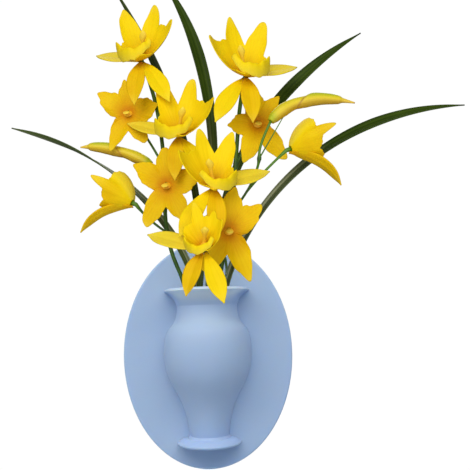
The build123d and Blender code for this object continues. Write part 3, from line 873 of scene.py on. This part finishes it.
# %% Stem finish and routes
def paint_stem(wire):
    """Green, lighter towards the blooms, with streaks along the stem and darker joints."""
    across, along, tone = wire.surface()
    cloud = wire.noise(120.0, 2.0)
    streak = (across * 44.0 + cloud * 3.0).sine() * 0.5 + 0.5
    light = (along.between(0.2, 1.0) * 0.7 + streak * 0.25 + (cloud - 0.5) * 0.6).clamped()
    colour = light.mix(rgb(34, 70, 6), rgb(92, 138, 26))
    colour = tone.clamped().mix(colour, rgb(34, 62, 26))
    return {"Base Color": colour, "Roughness": 0.38 + 0.15 * cloud, "Normal": wire.bump(streak, 0.2, 0.1)}


stem_green = finish("stem_green", paint_stem, Specular_IOR_Level=0.45)
pedicel_radius = 1.0
stem_lead = 4.0
twig_foot, twig_tip, twig_rings = 0.6, 0.35, 12
stem_mouths = {"left": (-0.68, 0.50), "right": (0.44, 0.68)}
stem_routes = {
    "left": [(-28, 13, 30), (-32, 16, 60), (-31, 19, 110), (-38, 25, 160)],
    "right": [(17, 14, 34), (22.5, 17, 59), (28, 26, 110), (31, 40, 142)],
}
pedicel_routes = {
    "left_bloom_2": ("stem", 98, [(-45, 16.5, 123)]),
    "left_bloom_3": ("stem", 96, [(-24, 27, 102)]),
    "left_bloom_4": ("stem", 66, []),
    "left_bloom_5": ("stem", 45, [(-43, 23, 55)]),
    "right_bloom_2": ("stem", 97, [(38, 24, 117)]),
    "right_bloom_3": ("branch", 73, [(48, 40, 86)]),
    "right_bloom_4": ("stem", 55, [(17, 42, 56)]),
    "right_bloom_5": ("stem", 45, []),
    "right_bloom_6": ("stem", 27, [(16, 46, 6)]),
}
branch_routes = {
    "left": (82, [(-37, 15, 96)]),
    "right": (59, [(36, 31, 73), (45, 47, 92), (44.5, 50, 104)]),
}
twig_routes = {"left": [], "right": [(95, (64.1, 54, 125.9))]}
bud_routes = {
    "left_bud": [(-42.5, 15, 101.5), (-72, 15, 115), (-100.5, 15, 118)],
    "right_bud": [(54, 54, 122), (81, 54, 137.5), (118.5, 54, 134.5)],
}


def smooth_line(points, samples=12):
    """A quadratic B-spline: it starts and ends at the end points and touches the middle of each inner run.
    Each inner point bends one piece of it, (1-t)^2 * before + 2t(1-t) * point + t^2 * after."""
    points = np.array(points, float)
    if len(points) == 2:
        return np.linspace(points[0], points[1], samples)
    joins = np.concatenate([points[:1], (points[1:-2] + points[2:-1]) / 2, points[-1:]])
    t = np.linspace(0, 1, samples)[None, :, None]
    before, bend, after = joins[:-1, None], points[1:-1, None], joins[1:, None]
    pieces = (1 - t) ** 2 * before + 2 * t * (1 - t) * bend + t ** 2 * after
    return np.concatenate([piece[(0 if i == 0 else 1):] for i, piece in enumerate(pieces)])


def through(start, middle, end):
    """The control points of one bend that passes through a middle point."""
    return [start, 2 * np.array(middle) - (np.array(start) + np.array(end)) / 2, end]


def at_rise(line, rise):
    """The point of a rising line at a rise over the rim."""
    height = rim_height + rise
    order = np.argsort(line[:, 2])
    return np.array([np.interp(height, line[order, 2], line[order, axis]) for axis in range(3)])


# a direction that no stem runs along
sideways = [0.35, 0.9, 0.25]
end_share, end_point = 0.7, 0.02


def tube(line, radius, tone=0.0, columns=14, along=(0.0, 1.0)):
    """A tube: rings of a radius that may change along the line, in a frame carried along it, closed at its
    ends by two ever smaller rings."""
    line = np.concatenate([line[:1], line[:1], line, line[-1:], line[-1:]])
    radius = np.broadcast_to(np.asarray(radius, float), len(line) - 4)
    radius = np.concatenate([[end_point, radius[0] * end_share], radius, [radius[-1] * end_share, end_point]])
    course = np.gradient(line[2:-2], axis=0)
    course = np.concatenate([course[:1], course[:1], course, course[-1:], course[-1:]])
    course /= np.linalg.norm(course, axis=1, keepdims=True)
    beside = np.cross(course, sideways)
    beside /= np.linalg.norm(beside, axis=1, keepdims=True)
    above = np.cross(beside, course)
    angle = np.linspace(0, 2 * np.pi, columns, endpoint=False)
    ring = beside[:, None] * np.cos(angle)[None, :, None] + above[:, None] * np.sin(angle)[None, :, None]
    points = line[:, None] + ring * radius[:, None, None]
    share = np.linspace(along[0], along[1], len(line))[:, None]
    tone = np.broadcast_to(np.asarray(tone, float), len(line) - 4)
    tone = np.concatenate([tone[:1], tone[:1], tone, tone[-1:], tone[-1:]])
    return grid(points, angle[None, :] / FULL_TURN, share, tone[:, None], closed=True)


def stalk_radius(line, thin, thick, reach=14.0):
    """A stalk's radius: thin, and swelling to thick over the last stretch before the bloom."""
    left = np.linalg.norm(line - line[-1], axis=1)
    return thin + (thick - thin) * np.clip(1 - left / reach, 0, 1) ** 1.6


def joint_ring(line, places, radius, swell=0.5, reach=3.0):
    """How much a stem swells, and how dark it is, near the places where stalks leave it."""
    gap = np.linalg.norm(line[:, None] - np.array(places)[None], axis=2).min(1)
    near = np.exp(-(gap / reach) ** 2)
    return radius + swell * near, 0.7 * near


def dress_stem(side):
    """One spray's stem, branch, stalks and twigs, as tubes in one mesh."""
    sign = -1 if side == "left" else 1
    foot = np.array([sign * sleeve_spread, -plate_front - sleeve_depth, pocket_floor + seat_gap])
    bend = np.array([sign * sleeve_spread, -plate_front - sleeve_depth, sleeve_top + stem_lead])
    across, outward = stem_mouths[side]
    mouth = np.array([across * neck_bore, -plate_front - outward * neck_bore, rim_height])
    top_origin, top_axes = bloom_axes(side + "_bloom_1")
    stem = smooth_line([foot, bend, mouth, *map(over_rim, stem_routes[side]), top_origin])
    leave, places = branch_routes[side]
    bud_foot = over_rim(bud_routes[side + "_bud"][0])
    start = at_rise(stem, leave)
    inner = [over_rim(place) for place in places]
    route = through(start, inner[0], bud_foot) if len(inner) == 1 else [start, *inner, bud_foot]
    branch = smooth_line(route)
    stalks, leaves_at, knots = [], [start], [start]
    for leave, tip in twig_routes[side]:
        knots.append(at_rise(branch, leave))
        line = np.linspace(knots[-1], over_rim(tip), twig_rings)
        stalks.append(tube(line, np.linspace(twig_foot, twig_tip, twig_rings), along=(0.5, 1.0)))
    for name, (carrier, leave, places) in pedicel_routes.items():
        if name.startswith(side):
            start = at_rise(stem if carrier == "stem" else branch, leave)
            origin, axes = bloom_axes(name)
            inner = [over_rim(place) for place in places]
            line = smooth_line(through(start, inner[0], origin) if inner else [start, origin])
            line = np.concatenate([line, [origin + axes[2] * knob_height]])
            stalks.append(tube(line, stalk_radius(line, pedicel_radius, knob_radius), along=(0.5, 1.0)))
            leaves_at.append(start)
    stem = np.concatenate([stem, [top_origin + top_axes[2] * knob_height]])
    radius, dark = joint_ring(stem, leaves_at, stem_radius)
    thin, knotted = joint_ring(branch, knots, pedicel_radius, swell=0.8, reach=2.5)
    grids = [tube(stem, radius, dark, along=(0.0, 0.8)), tube(branch, thin, knotted, along=(0.4, 1.0))]
    make_piece(side + "_stem", grids + stalks, stem_green, side + "_spray", [side + "_spike_stem"])


bud_radius = 5.0
seam_place, seam_slant = 0.46, 0.09
seam_step, seam_width = 0.012, 0.02
# shares of the bud's length, and of its radius there
lower_sheath = [0, 0.08, 0.22, 0.46, 0.7], [0.45, 0.85, 1.0, 0.74, 0.60]
upper_sheath = [0.3, 0.5, 0.62, 0.78, 0.84, 0.87, 1], [0.85, 1.06, 0.98, 0.78, 0.64, 0.38, 0.05]


def dress_bud(name, columns=48):
    """A closed bud: rings along an arc, in two sheaths. The lower one swells from the foot, the upper one
    comes out of it at a slanting seam, which lies further out on top, and is drawn to a point. Across counts
    from the underside to the top, and the tone marks the seam."""
    start, middle, end = map(over_rim, bud_routes[name])
    line = smooth_line(through(start, middle, end), 90)
    bud = tube(line, bud_radius, columns=columns)
    centre = np.concatenate([line[:1], line[:1], line, line[-1:], line[-1:]])
    share = np.linspace(0, 1, len(centre))[:, None]
    spread = bud["points"].reshape(len(centre), columns, 3) - centre[:, None]
    top = spread[..., 2] / np.maximum(np.linalg.norm(spread, axis=2), 1e-6)
    seam = share - seam_place - seam_slant * top
    past_seam = 1 / (1 + np.exp(-seam / seam_step))
    size = np.interp(share, *lower_sheath) * (1 - past_seam) + np.interp(share, *upper_sheath) * past_seam
    bud["points"] = (centre[:, None] + spread * size[..., None]).reshape(-1, 3)
    bud["values"][0] = (0.5 + 0.5 * top).ravel()
    bud["values"][2] = np.exp(-(seam / seam_width) ** 2).ravel()
    make_piece(name + "_closed", [bud], bud_skin, name.split("_")[0] + "_spray", [name])


for side_name in ("left", "right"):
    dress_stem(side_name)
    dress_bud(side_name + "_bud")

# %% [markdown]
# ## The wrap inside the pocket
# Green tape binds the leaves to the stem. It hardly shows, so the solid stays and only gets a finish: paper
# tape, wound round, with a ridge at each turn.


# %% Sleeve finish
def paint_tape(wire):
    """Green tape: a band for each turn of the winding, and creases."""
    height = wire.coordinate("Z")
    cloud = wire.noise(200.0, 3.0)
    turn_of_tape = (height * 1500.0 + cloud * 3.0).sine() * 0.5 + 0.5
    colour = turn_of_tape.mix(rgb(52, 82, 34), rgb(72, 104, 46))
    return {"Base Color": colour, "Roughness": 0.6 + 0.2 * cloud, "Normal": wire.bump(turn_of_tape, 0.4, 0.2)}


tape = finish("green_tape", paint_tape, Specular_IOR_Level=0.3)
for side_name in ("left", "right"):
    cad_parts[side_name + "_stem_sleeve"].data.materials[0] = tape
print("tape on the sleeves")
